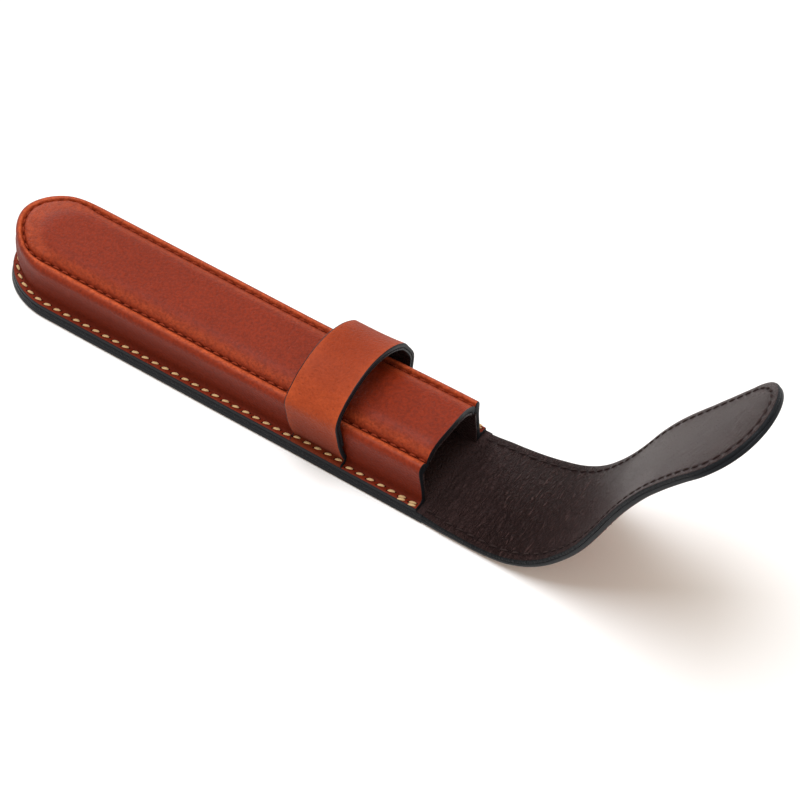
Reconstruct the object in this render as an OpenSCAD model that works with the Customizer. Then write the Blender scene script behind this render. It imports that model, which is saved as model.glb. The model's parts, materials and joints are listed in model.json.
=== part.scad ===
// Leather sleeve for a single pen: a stitched pocket, a keeper strap across it and a long flap.
// Lengths are in millimetres and angles in degrees.
// X runs along the sleeve from the closed end to the tip of the flap, and Z is up.
// The origin is the middle of the pocket's flat underside.
// Sections are drawn in two numbers: the inset from the sleeve's outer edge, and the height.

/* [Pocket outline] */
// Length of the pocket from the closed end to the mouth
pocket_length = 153; // [120:1:190]
// Width of the back from edge to edge
back_width = 35.5; // [32:0.5:44]

/* [Back and lining] */
// Thickness of the outer leather of the back and flap
back_leather = 1.7; // [1.2:0.1:2.4]
// Thickness of the lining of the back and flap
back_lining = 1.3; // [0.8:0.1:1.8]

/* [Gusset] */
// Thickness of the gusset leather
gusset_leather = 1.4; // [1:0.1:1.8]
// Thickness of the lining inside the gusset
gusset_lining_leather = 0.7; // [0.4:0.1:1]
// Inset of the wall's outer face at its foot
wall_foot_inset = 3.3; // [3:0.1:4.5]
// How far the wall leans outwards between its foot and the ridge
wall_lean = 1.6; // [0:0.1:2]
// Radius of the hollow where the wall rises from the sewn flange
foot_fillet = 1.4; // [0.6:0.1:1.6]
// Height of the ridge's crest above the surface that the sleeve lies on
ridge_height = 18.8; // [16:0.1:26]
// Radius of the rolled ridge
ridge_radius = 1.9; // [1.6:0.1:2.4]
// Thickness of the pared edge that is sewn down beside the ridge
hem_leather = 0.6; // [0.4:0.1:0.8]
// Width of the pared edge that is sewn down beside the ridge
hem_width = 1.0; // [0.8:0.1:1.4]
// How far the seam beside the ridge lies below its crest
groove_depth = 1.1; // [0.8:0.1:1.4]

/* [Front panel] */
// Thickness of the front panel's leather
panel_leather = 1.5; // [1.1:0.1:1.9]
// Thickness of the lining under the front panel
panel_lining_leather = 0.7; // [0.4:0.1:1]
// Height of the panel's crown above the ridge's crest
crown_rise = 2.2; // [1.2:0.1:3]
// Radius of the panel's shoulder, from the groove up to the flat of the crown
shoulder_round = 9.5; // [8:0.1:11]
// Inset at which the shoulder reaches the flat of the crown
crown_inset = 12.7; // [12:0.1:13.2]

/* [Keeper strap] */
// Width of the strap along the sleeve
keeper_width = 17.9; // [10:0.1:28]
// Distance from the mouth to the strap's near edge
keeper_from_mouth = 25.4; // [12:0.1:60]
// Thickness of the strap's outer leather
keeper_leather = 1.4; // [1:0.1:1.6]
// Thickness of the strap's lining
keeper_lining_leather = 0.8; // [0.4:0.1:0.9]
// How far the strap stands out past the edge of the back on each side
keeper_bulge = 1.45; // [1.2:0.05:3]
// Free height between the front panel and the strap
keeper_gap = 10.8; // [9:0.1:16]
// Height of the strap's widest place above the front panel
keeper_spring_rise = 1.0; // [0:0.1:2]
// Radius of the strap's upper corners
keeper_corner = 8; // [5:0.5:9]
// How far in from the edge of the back the strap rises from its feet
keeper_rise_inset = 2.07; // [1.95:0.01:2.1]
// Thickness of the strap's feet, pared where they are sewn down
foot_leather = 1.2; // [0.8:0.1:1.4]
// How far the strap's lining reaches down below the strap's widest place
keeper_lining_drop = 9; // [4:0.5:10]

/* [Flap] */
// Length of the flap from the mouth to its tip
flap_length = 139; // [110:1:160]
// Distance from the mouth to the first bending line
first_hinge = 5; // [4:0.5:8]
// Spacing of the bending lines where the flap turns over the mouth
bend_pitch = 8; // [6:0.5:9]
// Clearance between neighbouring leaves of the flap at a bending line
hinge_gap = 0.15; // [0.1:0.05:0.3]

/* [Stitches] */
// Spacing of the stitches that join the gusset to the back
base_pitch = 3.6; // [3:0.1:5]
// Inset of that seam from the edge of the back
base_seam_inset = 1.3; // [1:0.1:1.4]
// Spacing of the stitches beside the ridge
panel_pitch = 3.2; // [2.6:0.1:5]
// Spacing of the stitches round the border of the flap
border_pitch = 3.6; // [3:0.1:5]
// Inset of the border stitches from the edge of the flap
border_inset = 2.5; // [1.5:0.1:4]
// Length of one stitch
stitch_length = 2.4; // [1.6:0.1:2.4]
// Width of the thread
thread_width = 0.7; // [0.4:0.1:0.8]
// How far the thread stands above the leather
thread_height = 0.4; // [0.2:0.05:0.6]

/* [Hidden] */
$fn = 96;
// Turn of the resting flap at each bending line, from the mouth to the tip
rest_turn = [3.5, 4.5, 6.5, 14, 15, 9.5, 5, 4.5, 1, -5.5, -4.5, -2, -3];
// How many leaves make up the part that turns over the mouth
bend_leaves = 8;
leaf_count = len(rest_turn);
tongue_pitch = (flap_length - first_hinge - bend_leaves * bend_pitch) / (leaf_count - bend_leaves);
// How many straight steps a round stretch of a section is drawn with
arc_steps = 8;

half_width = back_width / 2;
mouth_x = pocket_length / 2;
end_x = half_width - mouth_x;

back_top = back_leather + back_lining;
flange_top = back_top + gusset_leather;
flap_half = back_top / 2;
layer_split = back_leather - flap_half;
hinge_x = mouth_x + first_hinge;

ridge_inset = wall_foot_inset - wall_lean + ridge_radius;
ridge_z = ridge_height - ridge_radius;
groove_z = ridge_height - groove_depth;
brim_z = groove_z - hem_leather;
groove_angle = asin((groove_z - ridge_z) / ridge_radius);
brim_angle = asin((brim_z - ridge_z) / ridge_radius);
hem_start = ridge_inset + ridge_radius * cos(groove_angle);
hem_end = hem_start + hem_width;
brim_start = ridge_inset + ridge_radius;
wall_foot_inner = wall_foot_inset + gusset_leather;
wall_top_z = ridge_z - ridge_radius;
// Clearance under the rolled ridge, where the lining of the gusset stops
lining_gap = 0.1;
crown_z = ridge_height + crown_rise;
shoulder_z = crown_z - shoulder_round;
brim_under = brim_z - panel_leather;
front_thickness = panel_leather + panel_lining_leather;
// Inset to which the flat edge of the swept shoulders reaches under the flat of the crown
crown_flat = crown_inset + 1;

foot_top = flange_top + foot_leather;
keeper_half = half_width + keeper_bulge;
keeper_thickness = keeper_leather + keeper_lining_leather;
keeper_top = crown_z + keeper_gap + keeper_thickness;
spring_z = crown_z + keeper_spring_rise;
// Radius of the strap's sides, from the feet up to the widest place
side_reach = keeper_bulge + keeper_rise_inset;
keeper_side = (pow(spring_z - foot_top, 2) + pow(side_reach, 2)) / (2 * side_reach);
arch_rise = keeper_top - spring_z;
corner_y = keeper_half - keeper_corner;
arch_radius = (pow(corner_y, 2) + pow(arch_rise, 2) - pow(keeper_corner, 2)) / (2 * (arch_rise - keeper_corner));
arch_z = keeper_top - arch_radius;
arch_angle = atan2(spring_z - arch_z, corner_y);
keeper_front = mouth_x - keeper_from_mouth;
keeper_back = keeper_front - keeper_width;

outer_leather = "#8a3a1e";
keeper_colour = "#a5522c";
lining_colour = "#3b2a28";
cream_thread = "#d8bf90";
red_thread = "#5c1a10";
brown_thread = "#2a1a16";

case_nodes = [
    "back_outer",
    "back_lining",
    "gusset",
    "gusset_lining",
    "front_panel",
    "front_lining",
    "keeper_strap",
    "keeper_lining",
    "base_seam_stitches",
    "panel_seam_stitches",
    "border_stitches_0"
];

// Points along an arc from one angle to another
function arc(centre, radius, from, to) = [
    for (i = [0:arc_steps])
        let (a = from + (to - from) * i / arc_steps)
            centre + radius * [cos(a), sin(a)]
];
function backwards(points) = [for (i = [len(points) - 1:-1:0]) points[i]];
function mirrored(points) = [for (p = backwards(points)) [-p[0], p[1]]];

// Half of a disc, on the side of the closed end
module half_disc(radius) {
    intersection() {
        circle(r = radius);
        translate([-2 * radius, -2 * radius])
            square([2 * radius, 4 * radius]);
    }
}

// Plan of the sleeve drawn in by an inset, up to front_x
module plan(inset, front_x) {
    half = half_width - inset;
    translate([end_x, -half])
        square([front_x - end_x, 2 * half]);
    translate([end_x, 0])
        half_disc(half);
}

// Sweeps a section round the sleeve: one side, the closed end and the other side
module along_edge() {
    for (side = [0, 1])
        mirror([0, side, 0])
            translate([end_x, -half_width, 0])
                rotate([90, 0, 90])
                    linear_extrude(mouth_x - end_x)
                        children();
    translate([end_x, 0, 0])
        rotate([0, 0, 90])
            rotate_extrude(angle = 180)
                translate([half_width, 0])
                    mirror([1, 0])
                        children();
}

// Hollow round the first bending line, in which the first leaf of the flap turns
module first_recess() {
    translate([hinge_x, 0, flap_half])
        rotate([90, 0, 0])
            cylinder(r = flap_half + hinge_gap, h = 2 * back_width, center = true);
}

module back_outer() {
    color(outer_leather)
        difference() {
            linear_extrude(back_leather)
                plan(0, hinge_x);
            first_recess();
        }
}

module back_lining() {
    color(lining_colour)
        difference() {
            translate([0, 0, back_leather])
                linear_extrude(back_lining)
                    plan(0, hinge_x);
            first_recess();
        }
}

// Section of the gusset: sewn flange, hollow, leaning wall, rolled ridge and the hem beside it
fillet_top = flange_top + foot_fillet;
fillet_inset = wall_foot_inset - wall_lean * (fillet_top - back_top) / (ridge_z - back_top);
gusset_points = concat(
    [[0, back_top], [0, flange_top]],
    arc([fillet_inset - foot_fillet, fillet_top], foot_fillet, 270, 360),
    arc([ridge_inset, ridge_z], ridge_radius, 180, groove_angle),
    [[hem_end, groove_z], [hem_end, brim_z]],
    arc([ridge_inset, ridge_z], ridge_radius, brim_angle, -90),
    [[wall_foot_inner, back_top]]
);

module gusset() {
    color(outer_leather)
        along_edge()
            polygon(gusset_points);
}

module gusset_lining() {
    top_z = wall_top_z - lining_gap;
    lean = (wall_foot_inner - ridge_inset) * (top_z - back_top) / (wall_top_z - back_top);
    color(lining_colour)
        along_edge()
            polygon([
                [wall_foot_inner, back_top],
                [wall_foot_inner + gusset_lining_leather, back_top],
                [wall_foot_inner + gusset_lining_leather - lean, top_z],
                [wall_foot_inner - lean, top_z]
            ]);
}

// Points down the panel's shoulder at a depth below its surface, from the flat of the crown
function shoulder_points(depth, low_z) =
    let (radius = shoulder_round - depth, low_angle = 180 - asin((low_z - shoulder_z) / radius))
        concat([[crown_flat, crown_z - depth]], arc([crown_inset, shoulder_z], radius, 90, low_angle));

// Flat of the crown between two depths, which reaches into the flat edge of the swept shoulders
module crown_plate(top_depth, bottom_depth) {
    translate([0, 0, crown_z - bottom_depth])
        linear_extrude(bottom_depth - top_depth)
            plan((crown_inset + crown_flat) / 2, mouth_x);
}

function shoulder_height(inset) =
    shoulder_z + sqrt(pow(shoulder_round, 2) - pow(crown_inset - inset, 2));

module front_panel() {
    color(outer_leather) {
        along_edge()
            polygon(concat(
                shoulder_points(0, shoulder_height(hem_end)),
                [[hem_end, brim_z], [brim_start, brim_z], [brim_start, brim_under]],
                backwards(shoulder_points(panel_leather, brim_under))
            ));
        crown_plate(0, panel_leather);
    }
}

module front_lining() {
    color(lining_colour) {
        along_edge()
            polygon(concat(
                shoulder_points(panel_leather, brim_under),
                backwards(shoulder_points(front_thickness, brim_under))
            ));
        crown_plate(panel_leather, front_thickness);
    }
}

// Points over the strap's arch at a depth below its surface, from low_z on one side to the crest
function arch_half(depth, low_z) = concat(
    arc(
        [keeper_half - keeper_side, spring_z],
        keeper_side - depth,
        -asin((spring_z - low_z) / (keeper_side - depth)),
        0
    ),
    arc([corner_y, spring_z], keeper_corner - depth, 0, arch_angle),
    arc([0, arch_z], arch_radius - depth, arch_angle, 90)
);
function arch_points(depth, low_z) =
    concat(arch_half(depth, low_z), mirrored(arch_half(depth, low_z)));

// Puts a shape drawn across the sleeve where the strap is
module across_at_keeper() {
    translate([keeper_back, 0, 0])
        rotate([90, 0, 90])
            linear_extrude(keeper_width)
                children();
}

// One side of the strap's outer surface: the edge of the foot, its top, and the arch to the crest
strap_side = concat(
    [[half_width, flange_top], [half_width, foot_top]],
    arch_half(0, foot_top)
);

module keeper_strap() {
    color(keeper_colour)
        across_at_keeper()
            difference() {
                polygon(concat(
                    strap_side,
                    mirrored(strap_side),
                    backwards(arch_points(keeper_leather, flange_top))
                ));
                for (side = [0, 1])
                    mirror([side, 0])
                        translate([-half_width, 0])
                            polygon(gusset_points);
            }
}

// The lining follows the strap's inner face and stops short of the feet
module keeper_lining() {
    color(lining_colour)
        across_at_keeper()
            difference() {
                polygon(concat(
                    arch_points(keeper_leather, flange_top),
                    backwards(arch_points(keeper_thickness, flange_top))
                ));
                translate([-keeper_half, 0])
                    square([2 * keeper_half, spring_z - keeper_lining_drop]);
            }
}

// One stitch lying on the leather: a low bar with its ends drawn in
module stitch() {
    half = stitch_length / 2;
    side = thread_width / 2;
    linear_extrude(thread_height)
        polygon([
            [-half, -side / 2],
            [-half + side, -side],
            [half - side, -side],
            [half, -side / 2],
            [half, side / 2],
            [half - side, side],
            [-half + side, side],
            [-half, side / 2]
        ]);
}

// Length of one straight side of the sleeve, and of its edge at an inset to the middle of the end
side_run = mouth_x - end_x;
function half_run(inset) = side_run + (half_width - inset) * PI / 2;

// Place [x, y, direction] on the near edge at an inset, at a distance from the mouth
function edge_place(inset, run) =
    run <= side_run
        ? [mouth_x - run, inset - half_width, 180]
        : let (radius = half_width - inset, a = 270 - (run - side_run) / radius * 180 / PI)
            [end_x + radius * cos(a), radius * sin(a), a - 90];

// Seam along the edge at an inset, whose stitches lie on floor_z, or on strap_z under the strap
module seam(inset, pitch, floor_z, strap_z) {
    whole = 2 * (half_run(inset) - stitch_length);
    steps = round(whole / pitch);
    for (i = [0:steps]) {
        run = stitch_length + i * whole / steps;
        far_side = run > half_run(inset);
        place = edge_place(inset, far_side ? 2 * half_run(inset) - run : run);
        on_strap = place[0] > keeper_back && place[0] < keeper_front;
        mirror([0, far_side ? 1 : 0, 0])
            translate([place[0], place[1], on_strap ? strap_z : floor_z])
                rotate([0, 0, place[2]])
                    stitch();
    }
}

module base_seam_stitches() {
    color(cream_thread)
        seam(base_seam_inset, base_pitch, flange_top, foot_top);
}

module panel_seam_stitches() {
    color(red_thread)
        seam((hem_start + hem_end) / 2, panel_pitch, groove_z, groove_z);
}

// Distance from the mouth, along the flap, to the bending line where a leaf starts
function leaf_start(k) =
    k <= bend_leaves
        ? first_hinge + k * bend_pitch
        : first_hinge + bend_leaves * bend_pitch + (k - bend_leaves) * tongue_pitch;

// Slope of a leaf of the resting flap, and the middle of its bending line as [x, z]
function heading(k) = k == 0 ? rest_turn[0] : heading(k - 1) + rest_turn[k];
function hinge_point(k) =
    k == 0
        ? [hinge_x, flap_half]
        : hinge_point(k - 1)
            + (leaf_start(k) - leaf_start(k - 1)) * [cos(heading(k - 1)), sin(heading(k - 1))];

// Moves what is drawn along a flat flap to where its leaf rests
module at_leaf(k) {
    point = hinge_point(k);
    translate([point[0], 0, point[1]])
        rotate([0, -heading(k), 0])
            translate([-leaf_start(k), 0, 0])
                children();
}

// Side view of a leaf: its round start turns in the hollow end of the one before it
module leaf_side(k) {
    start = leaf_start(k);
    end = leaf_start(k + 1);
    difference() {
        union() {
            translate([start, -flap_half])
                square([end - start, back_top]);
            intersection() {
                translate([start, 0])
                    circle(r = flap_half);
                translate([start - back_top, -back_top])
                    square([back_top, 2 * back_top]);
            }
        }
        if (k < leaf_count - 1)
            translate([end, 0])
                circle(r = flap_half + hinge_gap);
    }
}

// Plan of the flat flap, with its round tip
module flap_plan() {
    round_start = flap_length - half_width;
    translate([-first_hinge, -back_width])
        square([round_start + first_hinge, 2 * back_width]);
    intersection() {
        translate([round_start, 0])
            circle(r = half_width);
        translate([round_start, -back_width])
            square([back_width, 2 * back_width]);
    }
}

// One layer of a leaf, between two heights from the middle of its thickness
module leaf_layer(k, low, high) {
    intersection() {
        rotate([90, 0, 0])
            linear_extrude(back_width, center = true)
                intersection() {
                    leaf_side(k);
                    translate([leaf_start(k) - back_top, low])
                        square([leaf_start(k + 1) - leaf_start(k) + 2 * back_top, high - low]);
                }
        if (leaf_start(k + 1) > flap_length - half_width)
            translate([0, 0, -back_top])
                linear_extrude(2 * back_top)
                    flap_plan();
    }
}

module flap_outer(k) {
    color(outer_leather)
        at_leaf(k)
            leaf_layer(k, -back_top, layer_split);
}

module flap_lining(k) {
    color(lining_colour)
        at_leaf(k)
            leaf_layer(k, layer_split, back_top);
}

// Stitches on both edges of the flap between two distances from the mouth
module edge_stitches(start, end) {
    round_start = flap_length - half_width;
    count = round((end - start) / border_pitch);
    step = (end - start) / count;
    for (i = [0:count - 1]) {
        run = start + (i + 0.5) * step;
        if (run + stitch_length / 2 <= round_start)
            for (side = [-1, 1])
                translate([run, side * (half_width - border_inset), 0])
                    stitch();
    }
}

// Stitches on the round tip between two distances from the mouth
module tip_stitches(start, end) {
    round_start = flap_length - half_width;
    radius = half_width - border_inset;
    count = round(PI * radius / border_pitch);
    for (i = [0:count - 1]) {
        angle = -90 + (i + 0.5) * 180 / count;
        run = round_start + radius * cos(angle);
        if (run > start && run <= end)
            translate([run, radius * sin(angle), 0])
                rotate([0, 0, angle + 90])
                    stitch();
    }
}

module border_stitches_0() {
    color(brown_thread)
        translate([mouth_x, 0, back_top])
            edge_stitches(0, first_hinge);
}

module border_stitches(k) {
    color(brown_thread)
        at_leaf(k)
            translate([0, 0, flap_half]) {
                edge_stitches(leaf_start(k), leaf_start(k + 1));
                tip_stitches(leaf_start(k), leaf_start(k + 1));
            }
}

back_outer();
back_lining();
gusset();
gusset_lining();
front_panel();
front_lining();
keeper_strap();
keeper_lining();
base_seam_stitches();
panel_seam_stitches();
border_stitches_0();
for (k = [1:leaf_count]) {
    flap_outer(k - 1);
    flap_lining(k - 1);
    border_stitches(k - 1);
}
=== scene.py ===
"""Looks of a leather sleeve for a single pen: stitched pocket, keeper strap and long bending flap.

Sections are worked out in millimetres as an inset from the outer edge and a height.
Every finished mesh is in metres, in the frame of the CAD model.
"""

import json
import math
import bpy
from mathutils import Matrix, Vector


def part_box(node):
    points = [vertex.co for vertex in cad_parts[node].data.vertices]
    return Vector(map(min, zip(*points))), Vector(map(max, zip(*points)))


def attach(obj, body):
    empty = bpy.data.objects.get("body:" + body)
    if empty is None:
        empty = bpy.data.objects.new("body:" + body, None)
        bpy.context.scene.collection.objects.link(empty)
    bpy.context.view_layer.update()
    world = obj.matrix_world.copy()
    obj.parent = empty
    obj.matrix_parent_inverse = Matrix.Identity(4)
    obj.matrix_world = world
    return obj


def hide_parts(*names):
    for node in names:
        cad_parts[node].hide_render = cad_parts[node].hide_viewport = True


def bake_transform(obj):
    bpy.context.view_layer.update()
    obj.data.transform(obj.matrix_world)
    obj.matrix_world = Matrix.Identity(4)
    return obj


bl_info = {
    "name": "Single Pen Sleeve",
    "version": (1, 0, 0),
    "blender": (4, 5, 0),
    "location": "View3D > Sidebar > Pen Sleeve",
    "description": "Builds the leather, thread and painted edges of a single pen sleeve",
    "category": "Add Mesh",
}

import bmesh
import bpy
import numpy as np
from mathutils import Matrix, Vector

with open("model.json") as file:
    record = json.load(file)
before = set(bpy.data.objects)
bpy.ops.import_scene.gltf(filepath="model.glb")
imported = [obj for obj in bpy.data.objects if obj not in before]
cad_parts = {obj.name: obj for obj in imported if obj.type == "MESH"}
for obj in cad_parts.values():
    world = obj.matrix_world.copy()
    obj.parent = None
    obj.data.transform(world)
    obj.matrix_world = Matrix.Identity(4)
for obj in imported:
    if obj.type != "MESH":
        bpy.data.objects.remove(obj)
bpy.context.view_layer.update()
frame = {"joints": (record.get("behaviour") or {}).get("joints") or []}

MM = 0.001
BLACK, WHITE = (0.0, 0.0, 0.0), (1.0, 1.0, 1.0)
BENDING_LINES = len(frame["joints"])


def srgb(*channels):
    """Linear colour of an 8-bit sRGB one."""
    return tuple(value / 12.92 if value <= 0.04045 else ((value + 0.055) / 1.055) ** 2.4
                 for value in (channel / 255 for channel in channels))


def cad_size(node, axis):
    """Lowest and highest place of a CAD node along one axis, in millimetres."""
    low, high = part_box(node)
    return low[axis] / MM, high[axis] / MM


MOUTH_X = cad_size("front_panel", 0)[1]
HALF_WIDTH = cad_size("back_outer", 1)[1]
BACK_TOP = cad_size("back_lining", 2)[1]
LAYER_TOP = cad_size("back_outer", 2)[1]
STRAP_BACK, STRAP_FRONT = cad_size("keeper_strap", 0)

# Heights in the CAD model that no box of a node gives
FLANGE_TOP = 4.4
CROWN_Z = 21.0
FOOT_TOP = 5.6


# Settings that a user would change

def length_setting(name, description, millimetres):
    return bpy.props.FloatProperty(
        name=name, description=description, default=millimetres * MM, unit="LENGTH")


def share_setting(name, description, default):
    return bpy.props.FloatProperty(
        name=name, description=description, default=default, subtype="FACTOR", min=0, max=0.2)


def colour_setting(name, description, default):
    return bpy.props.FloatVectorProperty(
        name=name, description=description, default=default, subtype="COLOR", size=3, min=0, max=1)


class SleeveSizes(bpy.types.PropertyGroup):
    end_reach: length_setting(
        "End reach", "Length of the rounded closed end, a little more than a half circle", 21.5)
    mouth_rise: length_setting(
        "Mouth rise", "How much higher the mouth stands than the rest of the pocket", 1.85)
    mouth_rise_run: length_setting(
        "Mouth rise run", "Length over which the pocket rises towards its mouth", 60)
    lean: length_setting("Lean", "How far the top of the pocket leans towards the near side", 1.1)
    draw_in: share_setting(
        "Draw in", "Share of its width that the top of the pocket has lost", 0.058)
    far_squeeze: length_setting(
        "Far squeeze", "How much the far ridge is squeezed by the front panel", 1.2)
    sole_spread: length_setting(
        "Back spread", "How far the back's edge reaches beyond the flange at the floor", 0.7)
    end_push: length_setting("End push", "How far the closed end bulges outwards at its top", 1.6)
    strap_push: length_setting(
        "Strap push", "How far the top of the keeper strap is pushed to one side", 1.7)
    strap_slope: length_setting(
        "Strap slope", "How much lower the back edge of the keeper strap lies", 1.5)
    strap_draw: share_setting(
        "Strap draw", "Share of its width that the top of the keeper strap has lost", 0.057)
    base_pitch: length_setting(
        "Base seam pitch", "Spacing of the cream stitches round the base", 3.6)
    panel_pitch: length_setting(
        "Panel seam pitch", "Spacing of the dark red stitches beside the ridge", 3.2)
    border_pitch: length_setting(
        "Border pitch", "Spacing of the brown stitches round the flap", 3.6)


def measure(name):
    """One of the sizes, in millimetres."""
    return getattr(bpy.context.scene.sleeve_sizes, name) / MM


class SleeveColours(bpy.types.PropertyGroup):
    leather: colour_setting("Leather", "Red-brown outer leather", srgb(135, 42, 13))
    # Darker leather for the random patches and pores, and the colour of the painted shade in folds
    # and grooves
    leather_deep: colour_setting(
        "Leather, deep", "Outer leather in its folds and grooves", srgb(76, 19, 6))
    # Lighter leather for rubbed places, and the colour of painted highlights on the ridge crest,
    # the panel's shoulder and the strap's flank
    leather_worn: colour_setting(
        "Leather, worn", "Outer leather where it is stretched or rubbed", srgb(188, 84, 44))
    strap: colour_setting("Strap", "Lighter leather of the keeper strap", srgb(146, 54, 22))
    # Darker strap leather for its random patches, and the colour of the painted shade towards its
    # feet
    strap_deep: colour_setting("Strap, deep", "Keeper strap in its shaded patches", srgb(80, 24, 8))
    lining: colour_setting("Lining", "Dark brown lining leather", srgb(40, 28, 28))
    # Lighter lining for its raised grain and clouds, and the colour of the painted sheen between
    # creases
    lining_light: colour_setting(
        "Lining, light", "Raised grain of the lining leather", srgb(76, 55, 52))
    edge_paint: colour_setting("Edge paint", "Paint on the cut edges", srgb(19, 21, 24))
    cream_thread: colour_setting("Cream thread", "Thread of the base seam", srgb(228, 198, 150))
    red_thread: colour_setting("Red thread", "Thread beside the ridge", srgb(150, 58, 30))
    brown_thread: colour_setting("Brown thread", "Thread round the flap", srgb(48, 35, 33))
    # Colour of the painted shade in the awl holes
    stitch_hole: colour_setting("Stitch holes", "Inside of the awl holes", srgb(30, 10, 6))
    floor: colour_setting("Floor", "Pale floor", (0.9, 0.9, 0.9))


# Shader maths

class Value:
    """A socket that takes part in Python expressions, each of which adds a Math node."""

    def __init__(self, nodes, socket):
        self.nodes = nodes
        self.socket = socket

    def math(self, operation, *others, clamp=False):
        settings = {"operation": operation, "use_clamp": clamp}
        return self.nodes.node("ShaderNodeMath", settings, dict(enumerate((self,) + others)))

    def __add__(self, other):
        return self.math("ADD", other)

    __radd__ = __add__

    def __mul__(self, other):
        return self.math("MULTIPLY", other)

    __rmul__ = __mul__

    def __sub__(self, other):
        return self.math("SUBTRACT", other)

    def __rsub__(self, other):
        return self.nodes.node("ShaderNodeMath", {"operation": "SUBTRACT"}, {0: other, 1: self})

    def clamped(self):
        return self.math("ADD", 0.0, clamp=True)


class Nodes:
    """The node tree of a material or of the world."""

    def __init__(self, tree):
        self.tree = tree
        tree.nodes.clear()

    def node(self, kind, settings=None, inputs=None, output=0):
        """A node with its settings made first, then its inputs as values or links."""
        node = self.tree.nodes.new(kind)
        for name, value in (settings or {}).items():
            setattr(node, name, value)
        for name, value in (inputs or {}).items():
            if isinstance(value, Value):
                self.tree.links.new(value.socket, node.inputs[name])
            elif node.inputs[name].type == "RGBA":
                node.inputs[name].default_value = (*value, 1)
            else:
                node.inputs[name].default_value = value
        return Value(self, node.outputs[output]) if node.outputs else None

    def seen(self):
        """1 on the rays that show the pale background, and 0 on those that light the object."""
        camera, glossy, transmission = (
            self.node("ShaderNodeLightPath", output=f"Is {kind} Ray")
            for kind in ("Camera", "Glossy", "Transmission"))
        return camera.math("MAXIMUM", glossy).math("MAXIMUM", transmission)


class Finish(Nodes):
    """One material and its node tree."""

    def __init__(self, name):
        self.material = bpy.data.materials.new(name)
        self.material.use_nodes = True
        super().__init__(self.material.node_tree)

    def place(self):
        return self.node("ShaderNodeTexCoord", output="Object")

    def mark(self, name):
        """A value stored on the vertices, such as how much wear, painted highlight or painted shade
        they get.
        """
        return self.node("ShaderNodeAttribute", {"attribute_name": name}, output="Fac")

    def noise(self, place, scale, detail=3.0, roughness=0.5, distortion=0.0):
        return self.node("ShaderNodeTexNoise", {}, {
            "Vector": place, "Scale": scale, "Detail": detail, "Roughness": roughness,
            "Distortion": distortion})

    def cells(self, place, scale):
        return self.node("ShaderNodeTexVoronoi", {}, {"Vector": place, "Scale": scale})

    def ramp(self, factor, low, high):
        """0 at low and 1 at high, which may be the smaller of the two."""
        return self.node("ShaderNodeMapRange", {}, {
            "Value": factor, "From Min": low, "From Max": high, "To Min": 0.0, "To Max": 1.0})

    def blend(self, factor, first, second):
        return self.node(
            "ShaderNodeMix", {"data_type": "RGBA"}, {0: factor, 6: first, 7: second}, output=2)

    def bump(self, height, strength, distance):
        return self.node(
            "ShaderNodeBump", {}, {"Height": height, "Strength": strength, "Distance": distance})

    def shader(self, **inputs):
        return self.node("ShaderNodeBsdfPrincipled", {}, {
            name.replace("_", " ").title().replace("Ior", "IOR"): value
            for name, value in inputs.items()})

    def surface(self, **inputs):
        self.node("ShaderNodeOutputMaterial", {}, {"Surface": self.shader(**inputs)})
        return self.material


def outer_leather(name, base, deep, worn, paint, patchiness=0.5, wax=0.12):
    """Waxed leather: cloudy colour, fine pores, painted cut edges, painted shade in grooves and
    hollows, and high places that are partly rubbed and partly painted highlight.

    patchiness is how much its clouds differ, and wax the weight of its coat.
    """
    finish = Finish(name)
    place, painted_shade = finish.place(), finish.mark("deep")
    cloud = finish.ramp(finish.noise(place, 34, 3.0, 0.55), 0.32, 0.7)
    mottle = finish.ramp(finish.noise(place, 330, 4.0, 0.62), 0.3, 0.72)
    grain = finish.noise(place, 2300, 3.0, 0.6)
    pores = finish.ramp(finish.cells(place, 1150), 0.0, 0.36)
    pebble = finish.noise(place, 1050, 1.0, 0.5)
    fibre = finish.ramp(finish.noise(place, 1300, 2.0, 0.6), 0.35, 0.7)
    painted = finish.ramp(finish.mark("painted") + (mottle - 0.5) * 0.3, 0.42, 0.58)
    shade = (cloud * 0.4 + mottle * 0.3 + fibre * 0.3).clamped()
    colour = finish.blend(((1 - shade) * patchiness).clamped(), base, deep)
    # Painted shade: the grooves, hollows and covered faces marked on the vertices are darkened
    colour = finish.blend((painted_shade * 0.85).clamped(), colour, deep)
    # Rubbed places and painted highlights, both marked on the vertices, are lightened
    colour = finish.blend((finish.mark("worn") * (0.45 + mottle * 0.45)).clamped(), colour, worn)
    colour = finish.blend((1 - pores) * 0.2, colour, deep)
    speckle = finish.ramp(pebble, 0.56, 0.4) * ((patchiness - 0.25) * 1.2)
    colour = finish.blend(speckle, colour, deep)
    colour = finish.blend(painted, colour, paint)
    rough = (0.44 + grain * 0.14 + (1 - cloud) * 0.07) * (1 - painted * 0.2) + painted_shade * 0.25
    height = grain * 0.3 + pores * 0.4 + pebble * 0.7 + fibre * 0.4
    return finish.surface(
        base_color=colour, roughness=rough.clamped(), coat_weight=((1 - painted_shade) * wax).clamped(),
        coat_roughness=0.36, specular_ior_level=0.09,
        normal=finish.bump(height * (1 - painted * 0.8), 0.7, 0.0004))


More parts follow.
